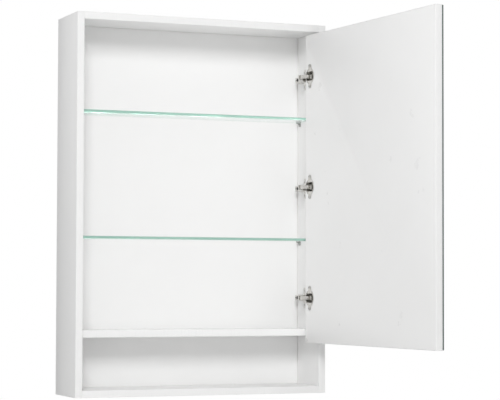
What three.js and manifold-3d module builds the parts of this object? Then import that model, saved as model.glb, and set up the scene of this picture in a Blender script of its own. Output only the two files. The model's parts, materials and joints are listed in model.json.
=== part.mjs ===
// Wall-hung medicine cabinet: white laminated carcass, two glass shelves on pins, an open
// niche below, and a mirrored door that is inset between the sides on three concealed hinges.
// Millimetres, +Z up. X runs to the right seen from the front, Y runs towards the wall.
// The origin is the centre of the hanging rail's rear face, which lies on the wall.
import * as THREE from "three";
import { RoundedBoxGeometry } from "three/addons/geometries/RoundedBoxGeometry.js";
import { mergeVertices } from "three/addons/utils/BufferGeometryUtils.js";
import Module from "manifold-3d";

const wasm = await Module();
wasm.setup();

// ---- carcass ----
const WIDTH = 600;
const HEIGHT = 850;
const DEPTH = 150;
const BOARD = 16;
const BOARD_EDGE = 0.6; // softened arrises of the boards
const INNER_X = WIDTH / 2 - BOARD; // inner face of each side panel
const SHELF_BOTTOM = 131; // underside of the fixed shelf above the cabinet's underside
const SHELF_SETBACK = 22; // fixed shelf behind the front plane
const BACK_THICKNESS = 8;
const BACK_FACE = 122; // front of the back panel behind the front plane
const GROOVE_DEPTH = 6; // grooves that hold the back panel
const GROOVE_PLAY = 0.3;

// ---- hanging rail and keyhole hangers ----
const RAIL_HEIGHT = 80;
const RAIL_CENTRE = HEIGHT - BOARD - RAIL_HEIGHT / 2;
const RAIL_THICKNESS = DEPTH - BACK_FACE - BACK_THICKNESS;
const HANGER_X = 230;
const HANGER = { width: 40, height: 60, thickness: 2, slot: 7, head: 14, screwRise: 22 };

// ---- glass shelves ----
const GLASS = { thickness: 6, front: 30, play: 2, edge: 0.5 };
const GLASS_TOPS = [355.9, 636.7]; // upper faces above the cabinet's underside
const PIN = { front: 50, rear: 108, radius: 2.5, depth: 8, reach: 9, width: 8, drop: 9 };

// ---- door, closed: x from the right side panel's inner face, y from the front plane ----
const DOOR_GAP = 2.5;
const DOOR_BOTTOM = 115.5;
const DOOR_TOP = 826;
const DOOR_WIDTH = 2 * INNER_X - 2 * DOOR_GAP;
const MIRROR = { thickness: 4, inset: 0.8, edge: 0.5 };
const DOOR_BACK = MIRROR.thickness + BOARD; // the door's inner face behind the front plane
const GLUE_GAP = 0.3;

// ---- concealed hinges ----
const HINGE_HEIGHTS = [218, 474, 730];
const OPEN_ANGLE = THREE.MathUtils.degToRad(94);
const LINK_RATIO = -0.173; // turn of the link for each unit of the door's own turn
const ARM_PIVOT = new THREE.Vector2(-31, 31); // in the nose of the arm
const CUP_PIVOT = new THREE.Vector2(-11.2, 10.4); // in the cup, door closed
const PIVOT_RADIUS = 1.2;
const LINK = { half: 4.2, eye: 2.4, bore: 1.32, thickness: 2 };
const ARM = { half: 6.2, cheekInner: 4.6 };
const CUP = { fromEdge: 21.5, radius: 17.5, wall: 0.5, depth: 13.5, rim: 1.2, rimRadius: 18.6 };
const CUP_FLANGE = { half: 28, width: 12, screw: 24 };
const PLATE = { centre: 75, half: 24, screw: 16, wing: 11, thickness: 2.2, bodyHalf: 7.4 };

const laminate = new THREE.MeshStandardMaterial({ color: 0xf4f4f3, roughness: 0.35, metalness: 0 });
const boardCore = new THREE.MeshStandardMaterial({ color: 0xece9e2, roughness: 0.6, metalness: 0 });
const shelfGlass = new THREE.MeshStandardMaterial({ color: 0x9fcfba, roughness: 0.05, metalness: 0 });
const silvered = new THREE.MeshStandardMaterial({ color: 0xd8dcdd, roughness: 0.03, metalness: 1 });
const nickel = new THREE.MeshStandardMaterial({ color: 0xb9b7b2, roughness: 0.28, metalness: 1 });
const zinc = new THREE.MeshStandardMaterial({ color: 0xa9abad, roughness: 0.4, metalness: 1 });
const pinMetal = new THREE.MeshStandardMaterial({ color: 0xc3c3c1, roughness: 0.3, metalness: 1 });

// ---- solids ----
function solid(geometry) {
  const bare = geometry.clone();
  bare.deleteAttribute("normal");
  bare.deleteAttribute("uv");
  const merged = mergeVertices(bare, 1e-4);
  return new wasm.Manifold(new wasm.Mesh({
    numProp: 3,
    vertProperties: new Float32Array(merged.attributes.position.array),
    triVerts: new Uint32Array(merged.index.array),
  }));
}

function geometryOf(manifold) {
  const mesh = manifold.getMesh();
  const points = new Float32Array(mesh.vertProperties);
  const geometry = new THREE.BufferGeometry();
  geometry.setAttribute("position", new THREE.BufferAttribute(points, 3));
  geometry.setIndex(new THREE.BufferAttribute(new Uint32Array(mesh.triVerts), 1));
  geometry.computeVertexNormals();
  return geometry;
}

function join(...geometries) {
  return geometryOf(geometries.map(solid).reduce((all, next) => all.add(next)));
}

function cut(geometry, tools) {
  return geometryOf(tools.map(solid).reduce((body, tool) => body.subtract(tool), solid(geometry)));
}

function piece(parent, name, geometry, material) {
  const mesh = new THREE.Mesh(geometry, material);
  mesh.name = name;
  parent.add(mesh);
  return mesh;
}

// A board with softened arrises between two corners.
function board(x0, x1, y0, y1, z0, z1, edge = BOARD_EDGE) {
  const geometry = new RoundedBoxGeometry(x1 - x0, y1 - y0, z1 - z0, 1, edge);
  return geometry.translate((x0 + x1) / 2, (y0 + y1) / 2, (z0 + z1) / 2);
}

function block(x0, x1, y0, y1, z0, z1) {
  const geometry = new THREE.BoxGeometry(x1 - x0, y1 - y0, z1 - z0);
  return geometry.translate((x0 + x1) / 2, (y0 + y1) / 2, (z0 + z1) / 2);
}

// A cylinder between two stations along an axis, "x", "y" or "z".
function rod(axis, radius, from, to, a, b, segments = 20) {
  const geometry = new THREE.CylinderGeometry(radius, radius, Math.abs(to - from), segments);
  const middle = (from + to) / 2;
  if (axis === "x") {
    return geometry.rotateZ(Math.PI / 2).translate(middle, a, b);
  }
  if (axis === "z") {
    return geometry.rotateX(Math.PI / 2).translate(a, b, middle);
  }
  return geometry.translate(a, middle, b);
}

// A plan outline, in X and Y, made into a prism between two heights.
function prism(outline, z0, z1) {
  const options = { depth: z1 - z0, bevelEnabled: false, curveSegments: 8 };
  return new THREE.ExtrudeGeometry(outline, options).translate(0, 0, z0);
}

function outlineOf(points) {
  return new THREE.Shape(points.map(([x, y]) => new THREE.Vector2(x, y)));
}

// A countersunk screw with its head's face at the origin, pointing along -Z, with a cross recess.
function screw(headRadius, shankRadius, length) {
  const sink = headRadius - shankRadius;
  const profile = [
    [0, 0],
    [headRadius, 0],
    [headRadius, -0.3],
    [shankRadius, -0.3 - sink],
    [shankRadius, -length + shankRadius],
    [0, -length],
  ].map(([r, z]) => new THREE.Vector2(r, z)).reverse();
  const body = new THREE.LatheGeometry(profile, 12).rotateX(Math.PI / 2);
  const arm = headRadius * 0.55;
  const half = headRadius * 0.13;
  const depth = Math.min(1.2, sink * 0.7);
  return cut(body, [
    block(-arm, arm, -half, half, -depth, 1),
    block(-half, half, -arm, arm, -depth, 1),
  ]);
}

// ---- cabinet: heights are above the cabinet's underside ----
const cabinet = new THREE.Group();
cabinet.position.set(0, 0, -RAIL_CENTRE);
const FRONT = -DEPTH;
const backFront = FRONT + BACK_FACE;
const backRear = backFront + BACK_THICKNESS;
const grooveX = INNER_X + GROOVE_DEPTH;
const grooveBottom = BOARD - GROOVE_DEPTH;
const grooveTop = HEIGHT - BOARD + GROOVE_DEPTH;
const grooveCutter = block(
  -grooveX - GROOVE_PLAY, grooveX + GROOVE_PLAY,
  backFront, backRear + GROOVE_PLAY,
  grooveBottom - GROOVE_PLAY, grooveTop + GROOVE_PLAY,
);

// Blind holes in a side panel for the shelf pins. side is -1 for the left and 1 for the right.
function pinHoles(side) {
  const holes = [];
  const mouth = side * (INNER_X - 1);
  const end = side * (INNER_X + PIN.depth + 0.5);
  for (const top of GLASS_TOPS) {
    for (const depth of [PIN.front, PIN.rear]) {
      holes.push(rod("x", PIN.radius + 0.05, mouth, end, FRONT + depth, pinHeight(top), 12));
    }
  }
  return holes;
}

function pinHeight(glassTop) {
  return glassTop - GLASS.thickness - PIN.width / 2;
}

const plateScrewHoles = HINGE_HEIGHTS.flatMap((height) => [-1, 1].map((end) => (
  rod("x", 2, INNER_X - 1, INNER_X + 11.5, FRONT + PLATE.centre, height + end * PLATE.screw, 12)
)));

const leftSide = board(-WIDTH / 2, -INNER_X, FRONT, 0, 0, HEIGHT);
const rightSide = board(INNER_X, WIDTH / 2, FRONT, 0, 0, HEIGHT);
const leftCutters = [grooveCutter, ...pinHoles(-1)];
const rightCutters = [grooveCutter, ...pinHoles(1), ...plateScrewHoles];
piece(cabinet, "left_side_panel", cut(leftSide, leftCutters), laminate);
piece(cabinet, "right_side_panel", cut(rightSide, rightCutters), laminate);
const topBoard = board(-INNER_X, INNER_X, FRONT, 0, HEIGHT - BOARD, HEIGHT);
const bottomBoard = board(-INNER_X, INNER_X, FRONT, 0, 0, BOARD);
piece(cabinet, "top_panel", cut(topBoard, [grooveCutter]), laminate);
piece(cabinet, "bottom_panel", cut(bottomBoard, [grooveCutter]), laminate);
const shelfFront = FRONT + SHELF_SETBACK;
piece(
  cabinet, "fixed_shelf",
  board(-INNER_X, INNER_X, shelfFront, backFront, SHELF_BOTTOM, SHELF_BOTTOM + BOARD),
  laminate,
);
piece(
  cabinet, "back_panel",
  block(-grooveX, grooveX, backFront, backRear, grooveBottom, grooveTop),
  laminate,
);

// ---- hanging rail with two keyhole plates let into it ----
const hangerRecess = HANGER.thickness;
const railTools = [];
for (const side of [-1, 1]) {
  const x = side * HANGER_X;
  const half = HANGER.width / 2 + 0.2;
  const rise = HANGER.height / 2 + 0.2;
  railTools.push(block(x - half, x + half, -hangerRecess, 1, RAIL_CENTRE - rise, RAIL_CENTRE + rise));
  railTools.push(block(x - 9, x + 9, -12, 1, RAIL_CENTRE - 14, RAIL_CENTRE + 14));
  for (const end of [-1, 1]) {
    railTools.push(rod("y", 1.6, -14.5, 1, x, RAIL_CENTRE + end * HANGER.screwRise, 12));
    railTools.push(rod("y", 2.7, -3.4, 1, x, RAIL_CENTRE + end * HANGER.screwRise, 12));
  }
}
const railBottom = RAIL_CENTRE - RAIL_HEIGHT / 2;
const rail = board(-INNER_X, INNER_X, -RAIL_THICKNESS, 0, railBottom, railBottom + RAIL_HEIGHT);
piece(cabinet, "hanging_rail", cut(rail, railTools), boardCore);

const hangerScrew = screw(3.6, 1.5, 13);
for (const [name, side] of [["left", -1], ["right", 1]]) {
  const x = side * HANGER_X;
  const plate = board(
    x - HANGER.width / 2, x + HANGER.width / 2, -hangerRecess, 0,
    RAIL_CENTRE - HANGER.height / 2, RAIL_CENTRE + HANGER.height / 2, 0.3,
  );
  const holes = [-1, 1].map((end) => (
    rod("y", 3.75, -3, 1, x, RAIL_CENTRE + end * HANGER.screwRise, 12)
  ));
  piece(cabinet, `hanger_${name}`, cut(plate, [
    ...holes,
    rod("y", HANGER.head / 2, -3, 1, x, RAIL_CENTRE - 5),
    rod("y", HANGER.slot / 2, -3, 1, x, RAIL_CENTRE + 9),
    block(x - HANGER.slot / 2, x + HANGER.slot / 2, -3, 1, RAIL_CENTRE - 5, RAIL_CENTRE + 9),
  ]), zinc);
  for (const [word, end] of [["lower", -1], ["upper", 1]]) {
    const fixing = piece(cabinet, `hanger_${name}_screw_${word}`, hangerScrew, zinc);
    fixing.rotation.x = -Math.PI / 2;
    fixing.position.set(x, -0.4, RAIL_CENTRE + end * HANGER.screwRise);
  }
}

// ---- glass shelves on pins ----
// A pin has a round shank in the side panel, a flange against it and a tongue under the glass.
function shelfPin() {
  const half = PIN.width / 2;
  return join(
    rod("x", PIN.radius, -PIN.depth, 1, 0, 0, 12),
    block(0, 1.6, -half, half, -PIN.drop + half, half),
    block(0, PIN.reach, -half, half, half - 1.8, half),
    block(0, PIN.reach - 3, -0.8, 0.8, -PIN.drop + half + 2, half - 1),
  );
}

const pinShape = shelfPin();
GLASS_TOPS.forEach((top, index) => {
  const level = index === 0 ? "lower" : "upper";
  const reachX = INNER_X - GLASS.play;
  const glass = board(
    -reachX, reachX, FRONT + GLASS.front, backFront - 1.5, top - GLASS.thickness, top, GLASS.edge,
  );
  piece(cabinet, `glass_shelf_${level}`, glass, shelfGlass);
  for (const [hand, side] of [["left", -1], ["right", 1]]) {
    for (const [where, depth] of [["front", PIN.front], ["rear", PIN.rear]]) {
      const pin = piece(cabinet, `pin_${level}_${hand}_${where}`, pinShape, pinMetal);
      pin.rotation.z = side > 0 ? Math.PI : 0;
      pin.position.set(side * INNER_X, FRONT + depth, pinHeight(top));
    }
  }
});

// ---- hinge frame: x from the right side panel's inner face, y from the front plane ----
const hingeFrame = new THREE.Group();
hingeFrame.position.set(INNER_X, FRONT, 0);
cabinet.add(hingeFrame);

// The link turns about the arm's pivot and the door about the cup's pivot, which the link carries.
const linkTurn = LINK_RATIO * OPEN_ANGLE;
const linkGroup = new THREE.Group();
linkGroup.position.set(ARM_PIVOT.x, ARM_PIVOT.y, 0);
linkGroup.rotation.z = linkTurn;
hingeFrame.add(linkGroup);
const linkSpan = CUP_PIVOT.clone().sub(ARM_PIVOT);
const doorPivot = linkSpan.clone().rotateAround(new THREE.Vector2(), linkTurn).add(ARM_PIVOT);
const doorGroup = new THREE.Group();
doorGroup.position.set(doorPivot.x, doorPivot.y, 0);
doorGroup.rotation.z = OPEN_ANGLE;
hingeFrame.add(doorGroup);
const closedDoor = new THREE.Group();
closedDoor.position.set(-CUP_PIVOT.x, -CUP_PIVOT.y, 0);
doorGroup.add(closedDoor);

// ---- door ----
const doorRight = -DOOR_GAP;
const doorLeft = doorRight - DOOR_WIDTH;
const cupX = doorRight - CUP.fromEdge;
const cupBores = HINGE_HEIGHTS.flatMap((height) => [
  rod("y", CUP.radius + 0.3, DOOR_BACK - CUP.depth - 0.3, DOOR_BACK + 1, cupX, height, 32),
  ...[-1, 1].map((end) => (
    rod("y", 1.9, DOOR_BACK - 11.5, DOOR_BACK + 1, cupX, height + end * CUP_FLANGE.screw, 12)
  )),
]);
const doorBoard = board(doorLeft, doorRight, MIRROR.thickness, DOOR_BACK, DOOR_BOTTOM, DOOR_TOP);
piece(closedDoor, "door_board", cut(doorBoard, cupBores), laminate);
piece(closedDoor, "mirror_glass", board(
  doorLeft + MIRROR.inset, doorRight - MIRROR.inset, 0, MIRROR.thickness - GLUE_GAP,
  DOOR_BOTTOM + MIRROR.inset, DOOR_TOP - MIRROR.inset, MIRROR.edge,
), silvered);

// ---- hinge pieces, each about the height of its own hinge ----
// The curved link: a strip that leaves the cup sideways and comes round to the arm's pivot.
function linkGeometry() {
  const end = linkSpan;
  const path = [
    [end.x, end.y],
    [end.x - 5, end.y - 1.6],
    [end.x - 10.9, end.y - 2.2],
    [end.x - 12.6, end.y - 2.2],
    [end.x - 17, end.y - 0.4],
    [end.x - 20.2, end.y + 4],
    [-1.4, -7],
    [0, 0],
  ].map(([x, y]) => new THREE.Vector2(x, y));
  const thin = LINK.thickness / 2;
  const strip = path.slice(0, -1).map((from, index) => {
    const to = path[index + 1];
    const along = to.clone().sub(from);
    const slab = block(0, along.length(), -thin, thin, -LINK.half, LINK.half);
    return slab.rotateZ(along.angle()).translate(from.x, from.y, 0);
  });
  const knees = path.slice(1, -1).map((at) => (
    rod("z", thin, -LINK.half, LINK.half, at.x, at.y, 8)
  ));
  const eyes = [new THREE.Vector2(), end].map((at) => (
    rod("z", LINK.eye, -LINK.half, LINK.half, at.x, at.y, 16)
  ));
  const bores = [new THREE.Vector2(), end].map((at) => (
    rod("z", LINK.bore, -LINK.half - 1, LINK.half + 1, at.x, at.y, 20)
  ));
  return cut(join(...strip, ...knees, ...eyes), bores);
}

// The arm: a raised rib on the plate that cranks inboard to a forked nose.
function armGeometry() {
  const side = outlineOf([
    [-7.6, 101], [-15, 101], [-16.2, 99], [-16.2, 66], [-19, 60], [-27, 49],
    [-34.4, 42], [-35.2, 38], [-35.2, 31], [-34, 28.2], [-31, 27], [-28, 28.2],
    [-26.6, 31], [-25.6, 36], [-19, 46], [-12, 56], [-7.6, 62],
  ]);
  const nose = block(-40, -20, 20, 36.4, -ARM.cheekInner, ARM.cheekInner);
  const pocket = block(-19, -11.5, 86, 94, -2.2, 2.2);
  const pivot = rod("z", PIVOT_RADIUS + 0.08, -10, 10, ARM_PIVOT.x, ARM_PIVOT.y, 20);
  return cut(prism(side, -ARM.half, ARM.half), [nose, pocket, pivot]);
}

// The mounting plate: a cross with a raised channel under the arm.
function plateGeometry() {
  const low = PLATE.centre - PLATE.wing / 2;
  const high = PLATE.centre + PLATE.wing / 2;
  const wings = board(-PLATE.thickness, 0, low, high, -PLATE.half, PLATE.half, 0.4);
  const body = board(
    -7.3, 0, PLATE.centre - 22, PLATE.centre + 24, -PLATE.bodyHalf, PLATE.bodyHalf, 0.5,
  );
  const holes = [-1, 1].map((end) => (
    rod("x", 4.1, -PLATE.thickness - 1, 1, PLATE.centre, end * PLATE.screw, 16)
  ));
  return cut(join(wings, body), holes);
}

// The cup: a shallow pan with a flange, two wings and lugs for its pivot.
function cupGeometry() {
  const floor = DOOR_BACK - CUP.depth;
  const inner = CUP.radius - CUP.wall;
  const top = DOOR_BACK + 0.3;
  const pan = new THREE.LatheGeometry([
    [0, floor],
    [CUP.radius, floor],
    [CUP.radius, top],
    [CUP.rimRadius, top],
    [CUP.rimRadius, top + CUP.rim],
    [inner, top + CUP.rim],
    [inner, floor + CUP.wall],
    [0, floor + CUP.wall],
  ].map(([r, y]) => new THREE.Vector2(r, y)), 28).translate(cupX, 0, 0);
  const half = CUP_FLANGE.width / 2;
  const wings = [-1, 1].map((end) => {
    const z0 = end * (inner + 0.4);
    const z1 = end * CUP_FLANGE.half;
    const low = Math.min(z0, z1);
    const high = Math.max(z0, z1);
    return board(cupX - half, cupX + half, top, top + CUP.rim, low, high, 0.3);
  });
  const lugs = [-1, 1].map((end) => {
    const z0 = end > 0 ? 4.6 : -6.2;
    return block(CUP_PIVOT.x - 3, CUP_PIVOT.x + 2.6, floor + 0.3, CUP_PIVOT.y + 3, z0, z0 + 1.6);
  });
  const holes = [-1, 1].map((end) => (
    rod("y", 3, DOOR_BACK - 1, DOOR_BACK + 4, cupX, end * CUP_FLANGE.screw, 16)
  ));
  const pivot = rod("z", PIVOT_RADIUS + 0.3, -7.5, 7.5, CUP_PIVOT.x, CUP_PIVOT.y, 20);
  return cut(join(pan, ...wings, ...lugs), [...holes, pivot]);
}

const shapes = {
  plate: plateGeometry(),
  arm: armGeometry(),
  link: linkGeometry(),
  cup: cupGeometry(),
  armPin: rod("z", PIVOT_RADIUS, -ARM.half + 0.2, ARM.half - 0.2, 0, 0, 20),
  cupPin: rod("z", PIVOT_RADIUS, -6.1, 6.1, 0, 0, 20),
  plateScrew: screw(3.9, 1.9, 12.5),
  cupScrew: screw(3.4, 1.5, 11.5),
  adjuster: rod("x", 1.9, -16.4, -12, 0, 0, 16),
};

for (const [index, height] of HINGE_HEIGHTS.entries()) {
  const name = `hinge_${index + 1}`;
  const fixed = new THREE.Group();
  fixed.position.z = height;
  hingeFrame.add(fixed);
  piece(fixed, `${name}_plate`, shapes.plate, nickel);
  piece(fixed, `${name}_arm`, shapes.arm, nickel);
  piece(fixed, `${name}_arm_pin`, shapes.armPin, zinc).position.set(ARM_PIVOT.x, ARM_PIVOT.y, 0);
  piece(fixed, `${name}_adjuster`, shapes.adjuster, zinc).position.y = 90;
  piece(linkGroup, `${name}_link`, shapes.link, nickel).position.z = height;
  const moving = new THREE.Group();
  moving.position.z = height;
  closedDoor.add(moving);
  piece(moving, `${name}_cup`, shapes.cup, nickel);
  piece(moving, `${name}_cup_pin`, shapes.cupPin, zinc).position.set(CUP_PIVOT.x, CUP_PIVOT.y, 0);
  for (const [word, end] of [["lower", -1], ["upper", 1]]) {
    const plateScrew = piece(fixed, `${name}_plate_screw_${word}`, shapes.plateScrew, zinc);
    plateScrew.rotation.y = -Math.PI / 2;
    plateScrew.position.set(-PLATE.thickness - 0.2, PLATE.centre, end * PLATE.screw);
    const cupScrew = piece(moving, `${name}_cup_screw_${word}`, shapes.cupScrew, zinc);
    cupScrew.rotation.x = -Math.PI / 2;
    cupScrew.position.set(cupX, DOOR_BACK + 0.3 + CUP.rim + 0.9, end * CUP_FLANGE.screw);
  }
}

const medicineCabinet = new THREE.Group();
medicineCabinet.add(cabinet);

export default medicineCabinet;
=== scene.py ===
"""Medicine cabinet with mirror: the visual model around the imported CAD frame.

Metres, in the row frame: +X right seen from the front, +Y into the wall, +Z up.
"""

import json
import math

import bmesh
import bpy
from mathutils import Matrix, Vector


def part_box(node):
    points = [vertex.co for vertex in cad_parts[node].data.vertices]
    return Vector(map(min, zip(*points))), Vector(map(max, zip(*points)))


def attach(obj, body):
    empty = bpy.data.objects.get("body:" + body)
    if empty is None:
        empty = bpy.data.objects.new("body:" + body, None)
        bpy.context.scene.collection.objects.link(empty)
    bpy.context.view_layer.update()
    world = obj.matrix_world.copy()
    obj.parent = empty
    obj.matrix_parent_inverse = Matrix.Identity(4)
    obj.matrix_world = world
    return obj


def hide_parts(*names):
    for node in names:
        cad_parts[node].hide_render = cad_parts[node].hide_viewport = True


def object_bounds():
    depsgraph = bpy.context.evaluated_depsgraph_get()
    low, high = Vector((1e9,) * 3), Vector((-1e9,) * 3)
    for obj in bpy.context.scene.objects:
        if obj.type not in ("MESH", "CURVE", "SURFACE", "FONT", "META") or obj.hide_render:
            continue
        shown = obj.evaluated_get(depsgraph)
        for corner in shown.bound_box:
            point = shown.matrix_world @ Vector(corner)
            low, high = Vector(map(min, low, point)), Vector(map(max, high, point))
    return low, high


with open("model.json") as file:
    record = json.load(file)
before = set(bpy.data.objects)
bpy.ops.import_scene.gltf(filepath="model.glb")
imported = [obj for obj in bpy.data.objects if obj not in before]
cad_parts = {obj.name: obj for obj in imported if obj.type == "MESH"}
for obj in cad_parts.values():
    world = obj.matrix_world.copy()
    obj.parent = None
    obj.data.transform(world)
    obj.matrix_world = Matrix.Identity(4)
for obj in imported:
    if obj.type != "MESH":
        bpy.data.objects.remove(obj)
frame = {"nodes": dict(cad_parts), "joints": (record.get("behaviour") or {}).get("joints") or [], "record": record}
CAD_BOX = [list(corner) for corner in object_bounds()]
NODES = frame["nodes"]
MM = 0.001

# ---- sizes that the boards and fittings share ----
BAND = 1.0 * MM  # thickness of the edge banding
SEAM = 0.12 * MM  # hairline between a board's face sheets and its banding
BAND_ROUND = 0.9 * MM
FACE_ROUND = 0.35 * MM
BORE_PLAY = 0.3 * MM
HINGES = ("hinge_1", "hinge_2", "hinge_3")


# ------------------------------------------------------------------ materials
class Shader:
    """A node material with one Principled shader and small helpers for its maps."""

    def __init__(self, name):
        self.material = bpy.data.materials.new(name)
        self.material.use_nodes = True
        self.tree = self.material.node_tree
        self.tree.nodes.clear()
        self.output = self.tree.nodes.new("ShaderNodeOutputMaterial")
        self.surface = self.tree.nodes.new("ShaderNodeBsdfPrincipled")
        self.link(self.surface.outputs[0], self.output.inputs["Surface"])
        self.place = self.tree.nodes.new("ShaderNodeTexCoord").outputs["Object"]

    def link(self, source, target):
        self.tree.links.new(source, target)

    def set(self, **values):
        for name, value in values.items():
            socket = self.surface.inputs[name.replace("_", " ")]
            if hasattr(value, "links"):
                self.link(value, socket)
            else:
                socket.default_value = value

    def stretched(self, x, y, z):
        node = self.tree.nodes.new("ShaderNodeMapping")
        node.inputs["Scale"].default_value = (x, y, z)
        self.link(self.place, node.inputs["Vector"])
        return node.outputs["Vector"]

    def noise(self, scale, detail=3.0, rough=0.55, vector=None):
        node = self.tree.nodes.new("ShaderNodeTexNoise")
        node.inputs["Scale"].default_value = scale
        node.inputs["Detail"].default_value = detail
        node.inputs["Roughness"].default_value = rough
        self.link(vector or self.place, node.inputs["Vector"])
        return node.outputs["Fac"]

    def cells(self, scale, feature="F1", output="Color", vector=None):
        node = self.tree.nodes.new("ShaderNodeTexVoronoi")
        node.feature = feature
        node.inputs["Scale"].default_value = scale
        self.link(vector or self.place, node.inputs["Vector"])
        return node.outputs[output]

    def ramp(self, source, *stops):
        """stops are (position, value or colour)."""
        node = self.tree.nodes.new("ShaderNodeValToRGB")
        band = node.color_ramp
        while len(band.elements) < len(stops):
            band.elements.new(0.5)
        for element, (position, value) in zip(band.elements, stops):
            element.position = position
            colour = (value,) * 3 if isinstance(value, (int, float)) else tuple(value)
            element.color = (*colour, 1.0)
        self.link(source, node.inputs["Fac"])
        return node.outputs["Color"]

    def mix(self, factor, a, b, blend="MIX"):
        node = self.tree.nodes.new("ShaderNodeMix")
        node.data_type = "RGBA"
        node.blend_type = blend
        for key, value in ((0, factor), (6, a), (7, b)):
            if hasattr(value, "links"):
                self.link(value, node.inputs[key])
            elif key:
                node.inputs[key].default_value = (*value, 1.0)
            else:
                node.inputs[key].default_value = value
        return node.outputs[2]

    def math(self, operation, a, b=0.0):
        node = self.tree.nodes.new("ShaderNodeMath")
        node.operation = operation
        for key, value in ((0, a), (1, b)):
            if hasattr(value, "links"):
                self.link(value, node.inputs[key])
            else:
                node.inputs[key].default_value = value
        return node.outputs[0]

    def worn_edges(self, radius):
        """1 on a softened arris that is narrower than radius, 0 on the flats."""
        bevel = self.tree.nodes.new("ShaderNodeBevel")
        bevel.samples = 4
        bevel.inputs["Radius"].default_value = radius
        geometry = self.tree.nodes.new("ShaderNodeNewGeometry")
        dot = self.tree.nodes.new("ShaderNodeVectorMath")
        dot.operation = "DOT_PRODUCT"
        self.link(bevel.outputs["Normal"], dot.inputs[0])
        self.link(geometry.outputs["Normal"], dot.inputs[1])
        return self.ramp(dot.outputs["Value"], (0.82, 1.0), (0.985, 0.0))

    def bump(self, height, strength, distance):
        node = self.tree.nodes.new("ShaderNodeBump")
        node.inputs["Strength"].default_value = strength
        node.inputs["Distance"].default_value = distance
        self.link(height, node.inputs["Height"])
        self.link(node.outputs["Normal"], self.surface.inputs["Normal"])


def laminate(name, tone, low=0.30, high=0.42, grain=1500.0):
    """White melamine: a fine pearl texture, faint clouding and dull hairline scratches."""
    s = Shader(name)
    clouds = s.noise(5.0, 4.0)
    tint = s.ramp(clouds, (0.3, [c * 0.985 for c in tone]), (0.7, tone))
    edge = s.worn_edges(0.8 * MM)
    worn = [tone[0] * 0.93, tone[1] * 0.925, tone[2] * 0.91]
    colour = s.mix(s.math("MULTIPLY", edge, s.noise(60.0, 5.0)), tint, worn)
    scratches = s.noise(70.0, 6.0, 0.7, s.stretched(1.0, 9.0, 0.6))
    pearl = s.noise(grain, 2.0)
    dull = s.math("MULTIPLY", s.ramp(scratches, (0.54, 0.0), (0.68, 1.0)), 0.035)
    rough = s.math("ADD", s.ramp(s.noise(22.0, 4.0), (0.3, low), (0.7, high)), dull)
    s.set(Base_Color=colour, Roughness=rough, IOR=1.5)
    s.surface.inputs["Specular IOR Level"].default_value = 0.45
    height = s.math("ADD", pearl, s.math("MULTIPLY", s.cells(grain * 0.55, output="Distance"), 0.5))
    s.bump(height, 0.12, 0.05 * MM)
    return s.material


def edge_band(name, tone):
    """ABS edge banding: a little glossier than the faces, with fine drawn lines along it."""
    s = Shader(name)
    lines = s.noise(900.0, 3.0, 0.6, s.stretched(1.0, 1.0, 0.02))
    colour = s.ramp(s.noise(9.0, 3.0), (0.3, [c * 0.982 for c in tone]), (0.7, tone))
    s.set(Base_Color=colour, Roughness=s.ramp(lines, (0.35, 0.26), (0.65, 0.38)), IOR=1.5)
    s.bump(lines, 0.10, 0.04 * MM)
    return s.material


def chipboard(name):
    """The raw core of the boards: pressed chips and dust of many sizes."""
    s = Shader(name)
    chips = s.cells(420.0, vector=s.stretched(1.0, 1.0, 0.35))
    fine = s.noise(1400.0, 5.0, 0.7)
    tone = s.ramp(
        s.mix(0.45, chips, fine),
        (0.15, (0.30, 0.21, 0.13)), (0.42, (0.52, 0.40, 0.27)),
        (0.62, (0.66, 0.54, 0.39)), (0.9, (0.78, 0.69, 0.55)),
    )
    s.set(Base_Color=tone, Roughness=s.ramp(fine, (0.3, 0.72), (0.7, 0.9)))
    s.bump(s.mix(0.5, chips, fine), 0.5, 0.25 * MM)
    return s.material


def rail_board(name):
    """Primed board of the hanging rail: a pale coat over visible chips, rubbed at its edges."""
    s = Shader(name)
    chips = s.cells(260.0, vector=s.stretched(0.4, 1.0, 1.0))
    fibre = s.noise(240.0, 5.0, 0.65, s.stretched(0.15, 1.0, 1.0))
    tone = s.ramp(
        s.mix(0.5, chips, fibre),
        (0.2, (0.60, 0.53, 0.43)), (0.5, (0.74, 0.69, 0.60)), (0.8, (0.82, 0.78, 0.71)),
    )
    rubbed = s.mix(s.worn_edges(1.2 * MM), tone, (0.58, 0.49, 0.37))
    s.set(Base_Color=rubbed, Roughness=s.ramp(fibre, (0.3, 0.6), (0.7, 0.8)))
    s.bump(s.mix(0.5, chips, fibre), 0.35, 0.15 * MM)
    return s.material


def metal(name, colour, low, high, brushed=(1.0, 1.0, 1.0), spots=0.0):
    """A plated metal: soft unevenness in the polish, fine draw marks and rubbed edges."""
    s = Shader(name)
    lines = s.noise(1800.0, 4.0, 0.6, s.stretched(*brushed))
    patches = s.noise(130.0, 5.0, 0.6)
    dark = [c * 0.86 for c in colour]
    tint = s.ramp(patches, (0.32, dark), (0.68, colour))
    if spots:
        tint = s.mix(
            s.ramp(s.cells(330.0, output="Color"), (0.35, 0.0), (0.9, spots)),
            tint, [c * 0.72 for c in colour],
        )
    rubbed = s.mix(s.worn_edges(0.35 * MM), tint, [min(1.0, c * 1.08) for c in colour])
    rough = s.math("ADD", s.ramp(lines, (0.3, low), (0.7, high)), s.math("MULTIPLY", patches, 0.06))
    s.set(Base_Color=rubbed, Metallic=1.0, Roughness=rough)
    s.bump(lines, 0.14, 0.03 * MM)
    return s.material


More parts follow.
